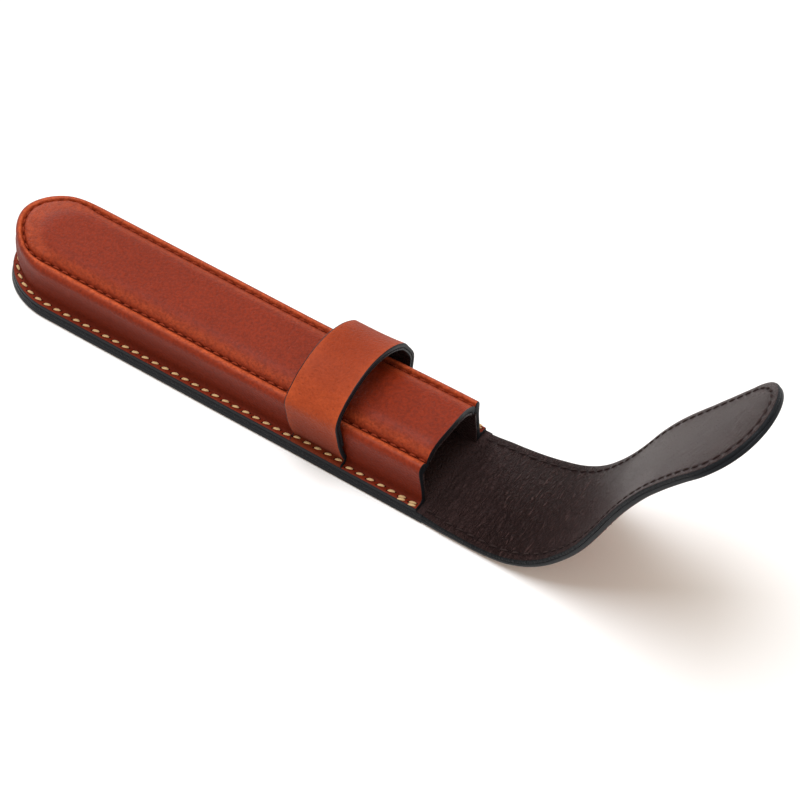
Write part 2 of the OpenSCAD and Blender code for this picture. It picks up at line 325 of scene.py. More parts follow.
def lining_leather(name, base, light, paint):
    """Fine-grained dark lining, creased across where the flap bends, with painted sheen between the
    creases.
    """
    finish = Finish(name)
    place = finish.place()
    along, across = finish.mark("along"), finish.mark("across")
    creases = finish.node("ShaderNodeCombineXYZ", {}, {"X": along * 1050, "Y": across * 270})
    fold = finish.noise(creases, 1.0, 3.0, 0.55, 0.7) - 0.5
    crease = finish.ramp(fold.math("ABSOLUTE"), 0.0, 0.16)
    fine = finish.node("ShaderNodeCombineXYZ", {}, {"X": along * 2100, "Y": across * 900})
    plait = finish.noise(fine, 1.0, 3.0, 0.65, 0.5)
    grain = finish.ramp(finish.cells(place, 1700), 0.05, 0.6)
    cloud = finish.ramp(finish.noise(place, 48, 3.0, 0.55), 0.3, 0.72)
    bend = finish.mark("bend")
    painted = finish.ramp(finish.mark("painted") + (cloud - 0.5) * 0.2, 0.42, 0.58)
    height = crease * (0.25 + bend * 0.75) * 1.7 + plait * 0.35 + grain * 0.3
    # Lighter between the crease lines, most where the flap bends: painted sheen; grain and clouds
    # are the leather's own
    shade = (crease * (0.2 + bend * 0.5) + grain * 0.2 + cloud * 0.25).clamped()
    colour = finish.blend(shade * 0.75, base, light)
    # Painted shade in the sunken line under the border stitches
    colour = finish.blend(finish.mark("deep") * 0.6, colour, tuple(part * 0.35 for part in base))
    colour = finish.blend(painted, colour, paint)
    rough = 0.36 + plait * 0.1 - cloud * 0.04
    return finish.surface(
        base_color=colour, roughness=rough, specular_ior_level=0.1,
        normal=finish.bump(height * (1 - painted * 0.7), 1.0, 0.0011))


FULL_TURN = 6.2832


def waxed_thread(name, base, dark):
    """Twisted linen thread, with painted shade between its strands."""
    finish = Finish(name)
    strand = (finish.mark("twist") * FULL_TURN).math("SINE") * 0.5 + 0.5
    fuzz = finish.noise(finish.place(), 2600, 2.0, 0.6)
    colour = finish.blend(((1 - strand) * 0.55 + fuzz * 0.25).clamped(), base, dark)
    return finish.surface(
        base_color=colour, roughness=0.6 + fuzz * 0.15, specular_ior_level=0.12,
        normal=finish.bump(strand + fuzz * 0.3, 0.6, 0.00012))


def awl_hole_shade(name, base):
    """Painted shade of an awl hole: dark, rough leather that fades to black in patches."""
    finish = Finish(name)
    patch = finish.noise(finish.place(), 1800, 2.0, 0.5)
    return finish.surface(
        base_color=finish.blend(patch, base, BLACK), roughness=0.8 + patch * 0.1,
        specular_ior_level=0.1)


def make_finishes(settings):
    """All finishes of the sleeve, by the names that the pieces use."""
    colours = {name: tuple(getattr(settings, name)) for name in SleeveColours.__annotations__}
    deep, worn, paint = colours["leather_deep"], colours["leather_worn"], colours["edge_paint"]
    return {
        "leather": outer_leather("red_brown_leather", colours["leather"], deep, worn, paint),
        "strap": outer_leather(
            "tan_strap_leather", colours["strap"], colours["strap_deep"], worn, paint, 0.35, 0.05),
        "lining": lining_leather(
            "dark_lining_leather", colours["lining"], colours["lining_light"], paint),
        # Second colours of the threads: the painted shade between their strands
        "cream": waxed_thread("cream_linen_thread", colours["cream_thread"], srgb(186, 142, 88)),
        "red": waxed_thread("dark_red_thread", colours["red_thread"], srgb(92, 26, 12)),
        "brown": waxed_thread("dark_brown_thread", colours["brown_thread"], srgb(34, 23, 22)),
        "hole": awl_hole_shade("stitch_hole", colours["stitch_hole"]),
    }


FINISHES = {}


# Sections and meshes

def arc(centre, radius, first, last, steps=8):
    """Points of an arc between two angles in degrees."""
    angles = np.radians(np.linspace(first, last, steps + 1))
    return [(centre[0] + radius * math.cos(a), centre[1] + radius * math.sin(a)) for a in angles]


def ease(value):
    """A smooth step from 0 to 1 while the value goes from 0 to 1."""
    value = np.clip(value, 0.0, 1.0)
    return value * value * (3 - 2 * value)


def unit_rows(vectors):
    return vectors / np.maximum(np.linalg.norm(vectors, axis=1, keepdims=True), 1e-9)


def shrunk(section, amount, closed):
    """A section drawn in along its own normals, for the rounded ends of a leather edge."""
    points = np.array(section, float)
    before, after = np.roll(points, 1, 0), np.roll(points, -1, 0)
    if not closed:
        before[0], after[-1] = points[0], points[-1]
    along = unit_rows(unit_rows(points - before) + unit_rows(after - points))
    inwards = np.stack([along[:, 1], -along[:, 0]], 1)
    moved = points + inwards * amount
    if not closed:
        moved[0, 0], moved[-1, 0] = points[0, 0], points[-1, 0]
    return moved


def clockwise(section):
    """The section in the order that lets shrunk() draw it in."""
    points = np.array(section, float)
    x, z = points[:, 0], points[:, 1]
    area = np.sum(x * np.roll(z, -1) - np.roll(x, -1) * z)
    return points if area < 0 else points[::-1].copy()


# Insets between which the ridge is narrower round the closed end
NARROW_FROM, NARROW_TO = 1.7, 8.5


class Rim:
    """The path round a leather outline: one side, the rounded end and the other side.

    The end reaches from its centre towards the closed end where reach is negative.
    """

    def __init__(self, front, centre, reach, side_step=2.2, end_steps=44):
        self.centre, self.reach = centre, reach
        count = max(2, int(round(abs(front - centre) / side_step)))
        self.straight = list(np.linspace(front, centre, count + 1))
        self.turns = list(np.linspace(-90, 90, end_steps + 1)[1:-1])

    def stations(self, lead_in=()):
        """Stops along the path. The steps of lead_in take the place of its first and last ones."""
        near = [("near", self.straight[0] + step) for step in lead_in]
        near += [("near", x) for x in self.straight[(1 if lead_in else 0):]]
        far = [("far", x) for _, x in reversed(near)]
        return near + [("end", turn) for turn in self.turns] + far

    def point(self, station, inset):
        """The x and y of a station at an inset from the outer edge."""
        kind, value = station
        if kind == "end" and self.reach < 0 and inset > NARROW_FROM:
            round_end = ease(math.cos(math.radians(value)) * 1.6)
            narrowing = 0.45 * round_end * ease((NARROW_TO - inset) / 1.5)
            inset = NARROW_FROM + (inset - NARROW_FROM) * (1 - narrowing)
        share = (HALF_WIDTH - inset) / HALF_WIDTH
        if kind == "end":
            a = math.radians(value)
            return self.centre + self.reach * share * math.cos(a), HALF_WIDTH * share * math.sin(a)
        return value, (-1 if kind == "near" else 1) * HALF_WIDTH * share


def new_piece(name, vertices, faces, finish, marks, weld=False, sharp=40):
    """A mesh object in metres from millimetre points, with marks painted on its vertices."""
    mesh = bpy.data.meshes.new(name)
    mesh.from_pydata([tuple(p) for p in np.array(vertices, float) * MM], [], faces)
    for mark, values in marks.items():
        layer = mesh.attributes.new(mark, "FLOAT", "POINT")
        layer.data.foreach_set("value", np.array(values, np.float32))
    shape = bmesh.new()
    shape.from_mesh(mesh)
    if weld:
        bmesh.ops.remove_doubles(shape, verts=shape.verts, dist=1e-6)
    bmesh.ops.dissolve_degenerate(shape, edges=shape.edges, dist=1e-7)
    bmesh.ops.recalc_face_normals(shape, faces=shape.faces)
    shape.to_mesh(mesh)
    shape.free()
    mesh.polygons.foreach_set("use_smooth", [True] * len(mesh.polygons))
    mesh.set_sharp_from_angle(angle=math.radians(sharp))
    mesh.materials.append(FINISHES[finish])
    piece = bpy.data.objects.new(name, mesh)
    bpy.context.scene.collection.objects.link(piece)
    return piece


def skin_faces(rings, points, closed=True):
    """Quads between rings of points, and the two faces that shut the first and the last ring."""
    faces = []
    for ring in range(rings - 1):
        a, b = ring * points, (ring + 1) * points
        for i in range(points if closed else points - 1):
            j = (i + 1) % points
            faces.append((a + i, a + j, b + j, b + i))
    last = range((rings - 1) * points, rings * points)
    return faces + [tuple(range(points)), tuple(reversed(last))]


def swept_round(name, section, rim, place, finish, end_round, closed=True, marks=None,
                paint_ends=True):
    """Sweeps a section of inset and height round a rim.

    An open section meets itself on the middle line. end_round rounds both ends at the mouth.
    """
    section = np.array(section, float)
    if closed:
        section = clockwise(section)
    stations = rim.stations((0.0, -0.3 * end_round, -end_round))
    draws = (0.75 * end_round, 0.25 * end_round)
    points, paints = [], []
    for number, station in enumerate(stations):
        from_end = min(number, len(stations) - 1 - number)
        ring = shrunk(section, draws[from_end], closed) if from_end < len(draws) else section
        points += [place(*rim.point(station, inset), height) for inset, height in ring]
        paints.append(1.0 if paint_ends and from_end < len(draws) else 0.0)
    all_marks = {"painted": np.repeat(paints, len(section))}
    for mark, test in (marks or {}).items():
        values = np.tile([test(inset, height) for inset, height in section], len(stations))
        all_marks[mark] = np.maximum(values, all_marks[mark]) if mark in all_marks else values
    faces = skin_faces(len(stations), len(section), closed)
    return new_piece(name, points, faces, finish, all_marks, weld=not closed)


def on_case(piece, *nodes):
    """Fixes a piece to the case, in the place of CAD nodes."""
    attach(piece, "case")
    if nodes:
        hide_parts(*nodes)


# The pocket

WALL_HEIGHT = 14.4
WALL_BULGE = 1.3
RIDGE_Y = 11.9
CLOSED_END_X = -55
SPREAD_TOP = 3.6
# Lining and outer leather pass the mouth by this much, up to the flap's first stretch
FLAP_START = 2.0
# Gap between layers that touch, and the depth of paint on a cut edge
SLIT = 0.01
PAINT_DEPTH = 0.3


def pocket_place(x, y, z):
    """Where a point of the plain pocket lies with its hand-made lean, bulge and risen mouth."""
    sizes = bpy.context.scene.sleeve_sizes
    run = measure("mouth_rise_run")
    rise = measure("mouth_rise") * ease((x - MOUTH_X + run) / run)
    share = np.clip((z - FLANGE_TOP) / WALL_HEIGHT, 0.0, 1.15)
    top = ease((z - FLANGE_TOP) / 12)
    end = ease((CLOSED_END_X - x) / 16)
    push = measure("end_push") * top * end * ease((y + 11) / 15)
    lean = measure("lean") * top * (1 - 0.75 * end)
    if y > 0:
        squeeze = ease(y / RIDGE_Y) * (1 - ease((y - RIDGE_Y) / 4.2)) * ease((z - 14.5) / 2.5)
        lean -= measure("far_squeeze") * squeeze * (1 - end)
    push += WALL_BULGE * end * ease((z - 5) / 3) * ease((16 - z) / 4)
    return x - push, y * (1 - sizes.draw_in * top) - lean, z + rise * share


def sole_place(x, y, z):
    """The back spreads a little towards the floor."""
    spread = measure("sole_spread") * (SPREAD_TOP - z) / SPREAD_TOP
    return x - spread * ease((-52 - x) / 20), y * (1 + spread / HALF_WIDTH), z


def pocket_rim(front=MOUTH_X):
    reach = measure("end_reach")
    return Rim(front, -MOUTH_X + reach, -reach)


def painted_side(inset, height):
    return 1.0 if inset < PAINT_DEPTH else 0.0


def make_sole():
    """The back's outer leather and its lining, whose edges are painted."""
    rim = pocket_rim(MOUTH_X + FLAP_START)
    top = LAYER_TOP - SLIT
    leather = [(HALF_WIDTH, top), (6, top), (0.6, top)] \
        + arc((0.15, top - 0.15), 0.15, 90, 180, 3) + [(0, 1.0)] \
        + arc((0.55, 0.55), 0.55, 180, 270, 5) + [(1.4, 0), (4, 0), (9, 0), (HALF_WIDTH, 0)]
    lining = [(inset, BACK_TOP) for inset in (HALF_WIDTH, 9, 4.75, 2, 0.5)] \
        + arc((0.15, BACK_TOP - 0.15), 0.15, 90, 180, 3) \
        + arc((0.15, LAYER_TOP + 0.15), 0.15, 180, 270, 3) \
        + [(inset, LAYER_TOP) for inset in (0.6, 6, HALF_WIDTH)]
    for name, section, finish, node in (("sole_leather", leather, "leather", "back_outer"),
                                        ("sole_lining", lining, "lining", "back_lining")):
        piece = swept_round(name, section, rim, sole_place, finish, closed=False, end_round=0.02,
                            marks={"painted": painted_side}, paint_ends=False)
        on_case(piece, node)


RIDGE = (3.6, 16.9)
RIDGE_RADIUS = 1.9
GROOVE_Z = 17.7
BRIM_Z = 17.1
HEM_END = 6.32


def gusset_section():
    """Sewn flange, hollow, leaning wall, rolled ridge and the hem beside it."""
    foot = BACK_TOP + SLIT
    flange = arc((0.45, FLANGE_TOP - 0.45), 0.45, 180, 90, 5) \
        + [(0.9, FLANGE_TOP), (1.6, FLANGE_TOP)]
    hollow = arc((1.74, FLANGE_TOP + 1.4), 1.4, 270, 352, 7)
    wall = [(2.95, 8.5), (2.62, 11), (2.2, 13.5), (1.86, 15.4)]
    ridge = arc(RIDGE, RIDGE_RADIUS, 188, 30, 16)
    hem = [(5.4, GROOVE_Z), (5.62, GROOVE_Z - 0.06), (HEM_END - 0.5, GROOVE_Z - 0.1),
           (HEM_END - 0.5, BRIM_Z)]
    inside = arc(RIDGE, RIDGE_RADIUS, 6, -90, 7) + [(3.9, 12), (4.3, 8), (4.7, foot)]
    return [(0, foot)] + flange + hollow + wall + ridge + hem + inside


def gusset_painted(inset, height):
    return 1.0 if inset < 0.12 else 0.0


def gusset_wear_and_highlight(inset, height):
    """The crest of the ridge is lighter: partly rubbed, partly a painted highlight."""
    return 1.1 * math.exp(-((inset - 4.0) ** 2) / 0.8) if height > 17.8 else 0.0


def gusset_painted_shade(inset, height):
    """Painted shade under the front panel, on the inside, in the hollow over the flange and on the
    wall.
    """
    if 5.3 < inset < 6.6 and height > 16.9 or inset > 3.55 and height < 17.2:
        return 1.0
    hollow = math.exp(-((inset - 2.4) ** 2 + (height - 5.2) ** 2) / 1.1)
    under = 0.6 * math.exp(-((height - 10) ** 2) / 30) if inset < 3.4 else 0.0
    return min(1.0, 0.75 * hollow + under)


def make_gusset():
    """The wall strip with its sewn flange and rolled ridge, and the lining behind it."""
    marks = {"painted": gusset_painted, "worn": gusset_wear_and_highlight, "deep": gusset_painted_shade}
    piece = swept_round("gusset_leather", gusset_section(), pocket_rim(), pocket_place, "leather",
                        end_round=0.22, marks=marks)
    on_case(piece, "gusset")
    foot = BACK_TOP + 2 * SLIT
    lining = [(4.74, foot), (5.4, foot), (4.98, 8), (4.6, 12), (4.35, 14.8), (3.62, 14.86),
              (3.94, 12), (4.34, 8)]
    piece = swept_round("gusset_lining_leather", lining, pocket_rim(), pocket_place, "lining",
                        end_round=0.15, paint_ends=False)
    on_case(piece, "gusset_lining")


SHOULDER = (12.7, 11.5)
SHOULDER_RADIUS = 9.5
PANEL_THICKNESS = 1.5
LINING_GAP, LINING_BOTTOM = 1.53, 2.2


def shoulder_z(inset, depth=0.0):
    """Height of the front panel at an inset, at a depth below its surface."""
    if inset >= SHOULDER[0]:
        return CROWN_Z - depth
    radius = SHOULDER_RADIUS - depth
    return SHOULDER[1] + math.sqrt(max(radius ** 2 - (SHOULDER[0] - inset) ** 2, 0))


def under_crown(inset, inner, depth):
    """A point under the front panel, where insets beyond the inner one lie at its height."""
    return inset, min(shoulder_z(max(inset, inner), depth), CROWN_Z - depth)


def front_painted_shade(inset, height):
    # Painted shade on the faces under the panel's edge and beside the groove
    return 1.0 if height < 18.0 else 0.35 * math.exp(-((inset - 5.9) ** 2) / 0.3)


def front_painted_highlight(inset, height):
    # Painted highlight along the shoulder of the front panel
    return 0.4 * math.exp(-((inset - 7.6) ** 2) / 1.6) if height > 17.8 else 0.0


def make_front():
    """The crowned front panel and the lining under it."""
    tops = [HALF_WIDTH, 15.8, 14, 12.7, 11.6, 10.6, 9.7, 8.9, 8.2, 7.6, 7.15]
    lip = [(6.7, shoulder_z(6.75) - 0.02), (6.35, shoulder_z(6.4) - 0.06),
           (6.05, shoulder_z(6.1) - 0.16), (5.88, 17.8), (HEM_END - 0.45, BRIM_Z)]
    brim = [(5.55, BRIM_Z), (5.55, BRIM_Z - 1.4)]
    under = [under_crown(inset, 7.0, PANEL_THICKNESS)
             for inset in (7.2, 8.6, 10.2, 12.7, 15, HALF_WIDTH)]
    section = [(inset, shoulder_z(inset)) for inset in tops] + lip + brim + under
    piece = swept_round("front_leather", section, pocket_rim(), pocket_place, "leather",
                        closed=False, end_round=0.3, marks={"deep": front_painted_shade, "worn": front_painted_highlight})
    on_case(piece, "front_panel")
    insets = [HALF_WIDTH, 15, 12.7, 10.2, 8.6, 7.4]
    section = [under_crown(inset, 7.4, LINING_GAP) for inset in insets] \
        + [under_crown(inset, 7.4, LINING_BOTTOM) for inset in reversed(insets)]
    piece = swept_round("front_lining_leather", section, pocket_rim(), pocket_place, "lining",
                        closed=False, end_round=0.2, paint_ends=False)
    on_case(piece, "front_lining")


# The keeper strap

SPRING_Z = 22.0
STRAP_TOP = 34.0
STRAP_HALF = 19.2
CORNER = 8.0
SIDE_REACH = 3.52
STRAP_THICKNESS = 1.4
LINING_TOP, LINING_DEPTH, LINING_END_Z = 1.42, 2.2, 13


def strap_half(depth, low_z):
    """One side of the strap from low_z up to the crest, at a depth below its outer face."""
    rise = SPRING_Z - FOOT_TOP
    side = (rise ** 2 + SIDE_REACH ** 2) / (2 * SIDE_REACH)
    top = STRAP_TOP - SPRING_Z
    flat = STRAP_HALF - CORNER
    crest = (flat ** 2 + top ** 2 - CORNER ** 2) / (2 * (top - CORNER))
    turn = math.degrees(math.atan2(SPRING_Z - (STRAP_TOP - crest), flat))
    low = -math.degrees(math.asin((SPRING_Z - low_z) / (side - depth)))
    return arc((STRAP_HALF - side, SPRING_Z), side - depth, low, 0, 10) \
        + arc((flat, SPRING_Z), CORNER - depth, 0, turn, 9)[1:] \
        + arc((0, STRAP_TOP - crest), crest - depth, turn, 90, 9)[1:]


def strap_place(x, y, z):
    """The strap leans over to the near side above the ridge, and its back edge lies lower."""
    sizes = bpy.context.scene.sleeve_sizes
    share = ease((z - 17.5) / 8)
    backwards = (STRAP_FRONT - x) / (STRAP_FRONT - STRAP_BACK)
    slope = measure("strap_slope") * backwards * ease((z - 20) / 9)
    y = y * (1 - sizes.strap_draw * share) - measure("strap_push") * share
    return x, y, z - slope


def strap_ring(outer, inner):
    """Closed ring of a strap layer from its outer and inner half outlines."""
    return outer + [(-y, z) for y, z in outer[-2::-1]] + [(-y, z) for y, z in inner] + inner[-2::-1]


def strap_layer(name, ring, finish, edge_round, marks=None):
    """One layer of the strap, with rounded edges and a slight sag in the middle of its width."""
    ring = clockwise(ring)
    width = STRAP_FRONT - STRAP_BACK
    rounding = [(0, 0.62 * edge_round), (0.12 * edge_round, 0.3 * edge_round),
                (0.45 * edge_round, 0.08 * edge_round), (edge_round, 0)]
    inner = np.linspace(edge_round, width - edge_round, 13)[1:-1]
    places = rounding + [(along, 0) for along in inner] \
        + [(width - along, draw) for along, draw in reversed(rounding)]
    rings, paints = [], []
    for number, (along, draw) in enumerate(places):
        section = shrunk(ring, draw, True) if draw else ring
        sag = 0.5 * (1 - (2 * along / width - 1) ** 2)
        rings.append([strap_place(STRAP_BACK + along, y, z - sag * ease((z - 20) / 8))
                      for y, z in section])
        paints.append(1.0 if min(number, len(places) - 1 - number) < 3 else 0.0)
    all_marks = {"painted": np.repeat(paints, len(ring))}
    for mark, test in (marks or {}).items():
        all_marks[mark] = [test(along, y, z) for along, _ in places for y, z in ring]
    points = [point for row in rings for point in row]
    return new_piece(name, points, skin_faces(len(rings), len(ring)), finish, all_marks)


def strap_wear_and_highlight(along, y, z):
    """Rubbed edges, and a painted highlight on the near flank."""
    edge = min(along, STRAP_FRONT - STRAP_BACK - along)
    flank = 0.45 * math.exp(-((z - 27) / 5.5) ** 2) if y < 0 else 0.0
    return (0.5 * math.exp(-edge / 1.3) + flank) if z > 6 else 0.2


def strap_shaded(along, y, z):
    # Painted shade: darker towards the feet and in a band just above them
    return 0.4 * math.exp(-((z - 6.2) ** 2) / 3) + 0.95 * (1 - ease((z - 5) / 22))


def make_strap():
    """The keeper strap, whose two feet are sewn down on the flange, and its lining."""
    floor = FLANGE_TOP + 2 * SLIT
    foot = [(0.02, floor), (0.02, 5.2), (0.3, 5.52), (0.9, FOOT_TOP), (1.5, 5.66), (1.95, 5.95)]
    outer = [(HALF_WIDTH - inset, z) for inset, z in foot] + strap_half(0, 6.6)
    inner = [(16.1, floor), (15.1, FLANGE_TOP + 0.6), (15.0, 5.4)] \
        + strap_half(STRAP_THICKNESS, 7.0)
    piece = strap_layer("strap_leather", strap_ring(outer, inner), "strap", 0.5,
                        {"worn": strap_wear_and_highlight, "deep": strap_shaded})
    on_case(piece, "keeper_strap")
    ring = strap_ring(strap_half(LINING_TOP, LINING_END_Z), strap_half(LINING_DEPTH, LINING_END_Z))
    piece = strap_layer("strap_lining_leather", ring, "lining", 0.35)
    on_case(piece, "keeper_lining")


# The flap

FLAP_LENGTH = 139.0
TIP_REACH = 18.9
# Heading of the flap in degrees and its twist in millimetres, by the run from the mouth
HEADINGS = [
    (0, 0), (9.1, 3.3), (18.2, 8.4), (27.2, 16.6), (36.3, 35.1), (45.4, 50.4), (54.5, 56.3),
    (63.6, 62.0), (72.6, 64.7), (81.7, 61.6), (90.8, 57.6), (99.9, 54.6), (108.9, 52.7),
    (118, 51.6), (127.1, 50.0), (139, 46.6)]
TWISTS = [
    (0, 0), (9, 0.1), (18, 0.7), (27, 1.3), (36, 1.4), (64, 1.4), (73, 1.3), (82, 0.8), (91, 0.2),
    (100, -0.35), (109, -0.4), (118, -0.2), (127, 0.4), (136, 1.3), (139, 1.5)]
FLAP_STEP = 0.25
# How far the near edge hangs lower in the bend, and the shares by which the flap thins and flares
NEAR_DROP, FLAP_THINNING, FLAP_FLARE = 0.7, 0.1, 0.045


def softened(table, places):
    """A table of values made into one smooth curve, read at the places."""
    fine = np.arange(-12, FLAP_LENGTH + 12.01, FLAP_STEP)
    values = np.interp(fine, [row[0] for row in table], [row[1] for row in table])
    spread = np.exp(-np.arange(-16, 16.01, 1.0) ** 2 / 72)
    spread /= spread.sum()
    values = np.convolve(np.pad(values, 16, mode="edge"), spread, mode="valid")
    return np.interp(places, fine, values)


FLAP_STEPS = np.arange(-6, FLAP_LENGTH + 4.01, FLAP_STEP)
FLAP_HEADINGS = np.radians(np.where(FLAP_STEPS < 0, 0, softened(HEADINGS, FLAP_STEPS)))


def travelled(part, start):
    """Distance covered at each of the flap's steps, along x for cos and along z for sin."""
    middles = (FLAP_HEADINGS[1:] + FLAP_HEADINGS[:-1]) / 2
    line = np.concatenate([[0], np.cumsum(FLAP_STEP * part(middles))])
    return line + (start - np.interp(0, FLAP_STEPS, line))


FLAP_X = travelled(np.cos, MOUTH_X)
FLAP_Z = travelled(np.sin, BACK_TOP)


def flap_place(run, y, height):
    """Where a point of the flat flap lies at rest.

    run is its distance from the mouth, and height its height over the face of the lining.
    """
    heading = np.interp(run, FLAP_STEPS, FLAP_HEADINGS)
    twist = softened(TWISTS, run) * y / HALF_WIDTH if run > 0 else 0.0
    if y < 0 < run:
        twist += NEAR_DROP * y / HALF_WIDTH * ease((run - 9) / 16) * ease((75 - run) / 25)
    thinning = 1 - FLAP_THINNING * ease((run - 5) / 20)
    lift = height * thinning + twist
    free = ease((run - 2) / 8)
    sole = measure("sole_spread") / HALF_WIDTH * (0.6 - height) / SPREAD_TOP
    y *= 1 + (1 - free) * sole * (run > 0) + free * FLAP_FLARE * ease((52 - run) / 26)
    return (np.interp(run, FLAP_STEPS, FLAP_X) - math.sin(heading) * lift, y,
            np.interp(run, FLAP_STEPS, FLAP_Z) + math.cos(heading) * lift)


# Half sections of the flap as inset and height over the face of the lining
LINING_HALF = [
    (HALF_WIDTH, 0), (15, 0), (12, 0), (9, 0), (6.5, 0), (4.5, 0), (3.3, -0.03), (2.9, -0.12),
    (2.5, -0.18), (2.1, -0.12), (1.7, -0.03), (1.0, -0.02), (0.5, -0.1), (0.2, -0.28), (0.04, -0.6),
    (0, -0.9), (0.03, -1.15), (0.16, -1.28), (0.6, -1.3), (6, -1.3), (HALF_WIDTH, -1.3)]
LEATHER_HALF = [
    (HALF_WIDTH, -1.32), (6, -1.32), (0.6, -1.32), (0.16, -1.34), (0.03, -1.48), (0, -1.8),
    (0.04, -2.35), (0.2, -2.7), (0.5, -2.9), (1.0, -2.98), (1.8, -2.98), (2.5, -2.9), (3.2, -2.98),
    (6, -3), (10, -3), (14, -3), (HALF_WIDTH, -3)]
BEND_HEIGHT = -1.5
BORDER_INSET = 2.5


def whole_ring(half):
    """Both sides of a half section as one closed ring of y and height."""
    near = [(inset - HALF_WIDTH, height) for inset, height in half]
    far = [(HALF_WIDTH - inset, height) for inset, height in half[1:-1]]
    return near + far[::-1]


def channel(inset):
    """How much of the sunken line under the border stitches lies at an inset."""
    return float(max(0, 1 - abs(inset - BORDER_INSET) / 0.7))


def bend_share(run):
    """How much the lining is creased at a run."""
    return float(math.exp(-((run - 38) / 24) ** 2))


def flap_spans():
    """Stretches of the flap, each from the middle of one leaf to the middle of the next.

    A stretch is its first and last run, the run where it stops bending, and its two bodies.
    """
    lines = [5.0 + 8 * number for number in range(9)] + [83.0, 97.0, 111.0, 125.0, FLAP_LENGTH]
    stops = [FLAP_START] + [(first + last) / 2 for first, last in zip(lines, lines[1:])]
    ends = stops[1:-1] + [FLAP_LENGTH]
    bodies = ["case"] + [f"flap_{number}" for number in range(1, BENDING_LINES + 1)]
    return list(zip(stops, ends, stops[1:], bodies, bodies[1:]))


def bend_piece(piece, span):
    first, _, last, carrier, body = span
    start, end = (tuple(Vector(flap_place(run, 0, BEND_HEIGHT)) * MM) for run in (first, last))
    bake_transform(piece)


def flap_skin(number, span, half, layer, finish):
    """One stretch of a flap layer, as a closed skin that spans one bending line."""
    tip = number == BENDING_LINES
    if tip:
        rim = Rim(span[0], FLAP_LENGTH - TIP_REACH, TIP_REACH, side_step=1.0, end_steps=56)
        rows = [[(*rim.point(station, inset), height, inset) for inset, height in half]
                for station in rim.stations()]
    else:
        runs = np.linspace(span[0], span[1], 13 if span[1] - span[0] < 9 else 17)
        rows = [[(run, y, height, HALF_WIDTH - abs(y)) for y, height in whole_ring(half)]
                for run in runs]
    flat = [point for row in rows for point in row]
    marks = {
        "painted": [painted_side(inset, height) for _, _, height, inset in flat],
        "along": [run * MM for run, _, _, _ in flat],
        "across": [y * MM for _, y, _, _ in flat],
        "bend": [bend_share(run) for run, _, _, _ in flat],
        # Painted shade in the sunken line under the border stitches, on both layers
        "deep": [channel(inset) for _, _, _, inset in flat],
    }
    points = [flap_place(run, y, height) for run, y, height, _ in flat]
    faces = skin_faces(len(rows), len(rows[0]), not tip)
    return new_piece(f"flap_{layer}_skin_{number}", points, faces, finish, marks, weld=tip)


def make_flap():
    """The flap's outer leather and lining, in stretches that follow its smooth rest curve."""
    for number, span in enumerate(flap_spans(), 1):
        for layer, half, finish in (("lining", LINING_HALF, "lining"),
                                    ("outer", LEATHER_HALF, "leather")):
            piece = flap_skin(number, span, half, layer, finish)
            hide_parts(f"flap_{layer}_{number}")
            bend_piece(piece, span)


# Stitches

UP = (0, 0, 1)
BASE_INSET, BASE_SLANT, BASE_MARGIN = 1.35, 17, 2.0
PANEL_INSET, PANEL_SLANT, PANEL_MARGIN = 5.62, 6, 1.6
BORDER_SLANT, BORDER_MARGIN, BORDER_START = 7, 1, 1.6
# Side of the flap and height of the border stitches on it
BORDER_FACES = ((1, -0.13), (-1, -2.93))
THREAD_LIFT, GROOVE_LIFT = 0.02, 0.16
HOLE_REACH, HOLE_SLANT = 1.22, 40
# The base seam is sewn twice over this length at the mouth, with this space between
DOUBLE_LENGTH, DOUBLE_SPACE = 6, 0.85
STRAP_MARGIN = 0.3
# Length, width and height of one stitch, and of one awl hole
BASE_STITCH = (2.35, 0.82, 0.5)
PANEL_STITCH = (2.4, 0.62, 0.55)
BORDER_STITCH = (2.6, 0.7, 0.42)
AWL_HOLE = (0.85, 0.5, 0.05)


def thread_form(length, width, height, rings=9, sides=8):
    """A short piece of thread that rises from one hole and dives into the next, along X."""
    points, twists = [], []
    for u in np.linspace(-1, 1, rings):
        girth = max(1 - abs(u) ** 3.2, 0.22)
        centre = height * (0.55 * (1 - abs(u) ** 3.5) - 0.25)
        for j in range(sides):
            angle = 2 * math.pi * j / sides
            points.append((u * length / 2, width / 2 * girth * math.cos(angle),
                           centre + height * 0.62 * girth * math.sin(angle)))
            twists.append(u * length * 1.6 + j / sides)
    return np.array(points), skin_faces(rings, sides), np.array(twists)


def hole_form(length, width, height):
    """A low dark lens that lies in the leather as the painted shade of an awl hole."""
    rim = [(length / 2 * math.cos(angle), width / 2 * math.sin(angle), 0.0)
           for angle in np.linspace(0, 2 * math.pi, 9)[:-1]]
    points = [(0, 0, height)] + rim + [(0, 0, -height * 2)]
    faces = [(0, 1 + i, 1 + (i + 1) % 8) for i in range(8)] \
        + [(9, 1 + (i + 1) % 8, 1 + i) for i in range(8)]
    return np.array(points), faces, np.zeros(len(points))


def copied(name, form, places, finish, sharp=60):
    """One piece with a copy of a form at each place, which is a point, a direction and a normal."""
    points, faces, twists = form
    all_points, all_faces = [], []
    for number, (origin, direction, normal) in enumerate(places):
        along = np.array(direction) / np.linalg.norm(direction)
        above = np.array(normal) - along * np.dot(normal, along)
        above /= np.linalg.norm(above)
        turn = np.stack([along, np.cross(above, along), above])
        all_points.append(np.array(origin) + points @ turn)
        all_faces += [tuple(i + number * len(points) for i in face) for face in faces]
    marks = {"twist": np.tile(twists, len(places))}
    return new_piece(name, np.concatenate(all_points), all_faces, finish, marks, sharp=sharp)


def turned(direction, degrees):
    """A direction turned about the vertical."""
    return np.array(Matrix.Rotation(math.radians(degrees), 3, Vector(UP)) @ Vector(direction))


